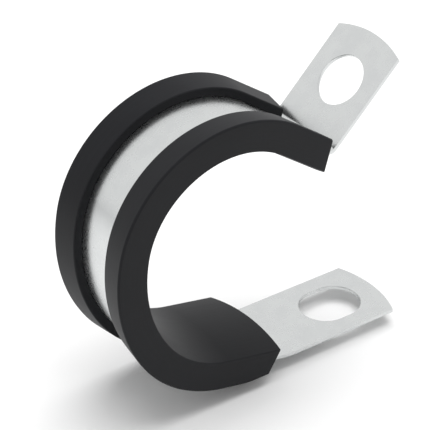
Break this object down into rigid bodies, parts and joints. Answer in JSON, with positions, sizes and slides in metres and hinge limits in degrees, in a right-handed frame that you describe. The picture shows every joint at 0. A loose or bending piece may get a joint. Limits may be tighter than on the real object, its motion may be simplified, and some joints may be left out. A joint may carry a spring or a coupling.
{
  "type": "cushioned p clip",
  "caption": "Open P clip: a bent steel strap with a punched ear at each end and a rubber cushion channel over its loop, for holding a cable or pipe to a panel.",
  "frame": {"origin": "centre of the lower ear's slot, on the ear's underside, the face that lies on the panel", "axes": "+X along the lower ear to its tip, +Z away from the panel, the loop's axis along Y with the loop on the -X side"},
  "size_m": [0.0723, 0.0234, 0.064],
  "materials": {
    "steel": "zinc-plated mild steel strip, satin, faintly mottled",
    "rubber": "extruded EPDM, near black, matt to satin"
  },
  "bodies": {
    "root": {"metal_strap": "steel", "rubber_cushion": "rubber"}
  },
  "joints": []
}
